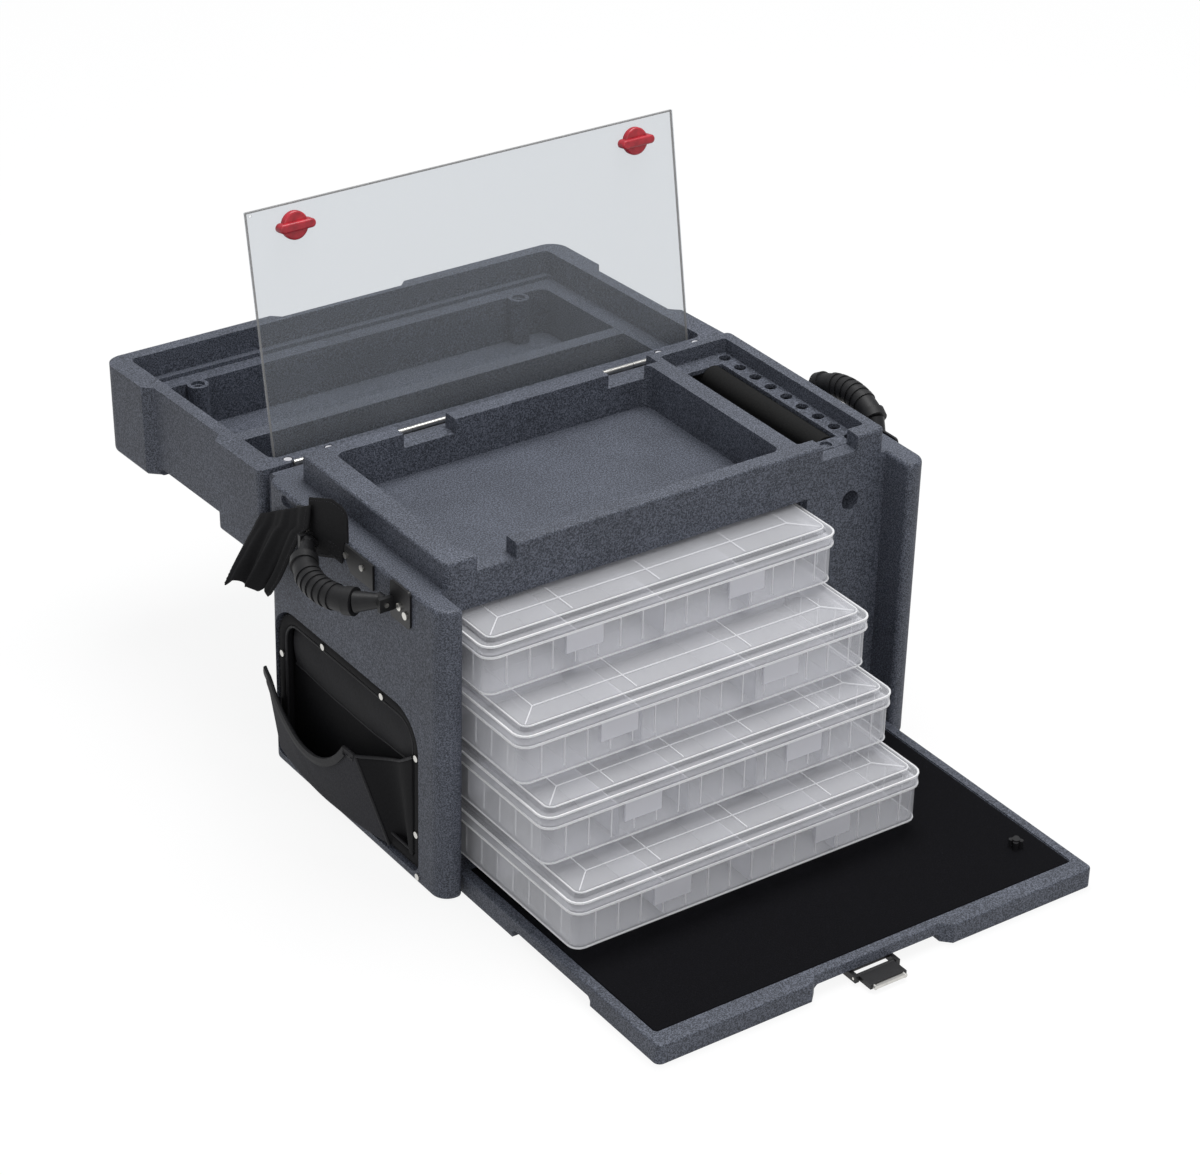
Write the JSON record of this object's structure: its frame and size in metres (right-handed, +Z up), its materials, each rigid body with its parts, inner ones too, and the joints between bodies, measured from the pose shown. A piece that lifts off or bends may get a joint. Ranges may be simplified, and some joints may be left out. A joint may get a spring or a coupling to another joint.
{
  "type": "tackle box",
  "caption": "Charcoal moulded tackle box, open: hinged lid with a clear inner panel, tray and bait rack, felt-lined drop-down front, and clear utility boxes slid part-way out.",
  "frame": {"origin": "centre of the case's flat bottom, on the floor", "axes": "+X to the object's right, +Y to the back where the lid lies open, +Z up"},
  "size_m": [0.5711, 0.8604, 0.4816],
  "materials": {
    "case_plastic": "matt, light speckle",
    "box_clear": "glossy, milky clear",
    "tab_white": "satin",
    "panel_clear": "glossy",
    "knob_red": "satin",
    "black_plastic": "satin",
    "black_rubber": "matt",
    "webbing": "woven",
    "pocket_cloth": "woven",
    "pocket_liner": "woven",
    "felt": "felted",
    "foam": "matt",
    "steel": "satin"
  },
  "bodies": {
    "case": {"case_shell": "case_plastic", "runners_left": "case_plastic", "runners_right": "case_plastic", "rack_deck": "case_plastic", "rack_foam_bar": "foam", "lid_hinge_case_leaf": "steel", "lid_hinge_pin": "steel", "door_hinge_lugs": "case_plastic", "door_hinge_pins": "steel", "handle_brackets_left": "black_plastic", "handle_brackets_right": "black_plastic", "handle_pins": "steel", "case_fasteners": "steel", "strap_anchor_left": "black_plastic", "strap_anchor_right": "black_plastic", "strap_tab": "webbing", "shoulder_strap": "webbing", "pocket_back": "pocket_liner", "pocket_frame": "pocket_liner", "pocket_front": "pocket_cloth", "pocket_gussets": "pocket_liner"},
    "lid": {"lid_shell": "case_plastic", "lid_divider": "case_plastic", "knob_posts": "case_plastic", "lid_studs": "tab_white", "lid_hinge_lid_leaf": "steel", "panel_hinge_blocks": "case_plastic", "lid_latch_keeper": "black_plastic"},
    "panel": {"clear_panel": "panel_clear", "clear_panel_pins": "steel"},
    "knob_l": {"knob_left": "knob_red"},
    "knob_r": {"knob_right": "knob_red"},
    "door": {"door_shell": "case_plastic", "door_felt": "felt", "door_snap_peg": "black_plastic", "latch_base": "black_plastic", "latch_pin": "steel"},
    "latch": {"latch_lever": "black_plastic", "latch_bail": "steel"},
    "handle_l": {"handle_grip_left": "black_rubber", "handle_arms_left": "black_plastic"},
    "handle_r": {"handle_grip_right": "black_rubber", "handle_arms_right": "black_plastic"},
    "box_1": {"box_1_base": "box_clear", "box_1_lid": "box_clear", "box_1_dividers": "box_clear", "box_1_latches": "tab_white"},
    "box_2": {"box_2_base": "box_clear", "box_2_lid": "box_clear", "box_2_dividers": "box_clear", "box_2_latches": "tab_white"},
    "box_3": {"box_3_base": "box_clear", "box_3_lid": "box_clear", "box_3_dividers": "box_clear", "box_3_latches": "tab_white"},
    "box_4": {"box_4_base": "box_clear", "box_4_lid": "box_clear", "box_4_dividers": "box_clear", "box_4_latches": "tab_white"}
  },
  "joints": [
    {"name": "lid_hinge", "type": "hinge", "parent": "case", "child": "lid", "pos_m": [0, 0.14625, 0.2752], "axis": [-1, 0, 0], "range_deg": [-182.6, 0]},
    {"name": "panel_hinge", "type": "hinge", "parent": "lid", "child": "panel", "pos_m": [0, 0.17056, 0.24847], "axis": [1, 0, 0], "range_deg": [-82.6, 0]},
    {"name": "knob_l_turn", "type": "hinge", "parent": "panel", "child": "knob_l", "pos_m": [-0.175, 0.20865, 0.4623], "axis": [0, -0.9845, 0.1754], "range_deg": [0, 90]},
    {"name": "knob_r_turn", "type": "hinge", "parent": "panel", "child": "knob_r", "pos_m": [0.175, 0.20865, 0.4623], "axis": [0, -0.9845, 0.1754], "range_deg": [0, 90]},
    {"name": "door_hinge", "type": "hinge", "parent": "case", "child": "door", "pos_m": [0, -0.1195, 0.0055], "axis": [1, 0, 0], "range_deg": [-3, 0]},
    {"name": "latch_hinge", "type": "hinge", "parent": "door", "child": "latch", "pos_m": [-0.007, -0.409, 0.0042], "axis": [-1, 0, 0], "range_deg": [0, 90]},
    {"name": "box_1_slide", "type": "slide", "parent": "case", "child": "box_1", "axis": [0, -1, 0], "range_m": [-0.0524, 0.1376]},
    {"name": "box_2_slide", "type": "slide", "parent": "case", "child": "box_2", "axis": [0, -1, 0], "range_m": [-0.1038, 0.0862]},
    {"name": "box_3_slide", "type": "slide", "parent": "case", "child": "box_3", "axis": [0, -1, 0], "range_m": [-0.1399, 0.0501]},
    {"name": "box_4_slide", "type": "slide", "parent": "case", "child": "box_4", "axis": [0, -1, 0], "range_m": [-0.1836, 0.0064]},
    {"name": "handle_l_hinge", "type": "hinge", "parent": "case", "child": "handle_l", "pos_m": [-0.257, -0.006, 0.255], "axis": [0, 1, 0], "range_deg": [-54.3, 76]},
    {"name": "handle_r_hinge", "type": "hinge", "parent": "case", "child": "handle_r", "pos_m": [0.257, -0.006, 0.255], "axis": [0, -1, 0], "range_deg": [-140, 0]}
  ],
  "couplings": [
    {"joint": "panel_hinge", "follows": "lid_hinge", "ratio": 0.45181}
  ]
}
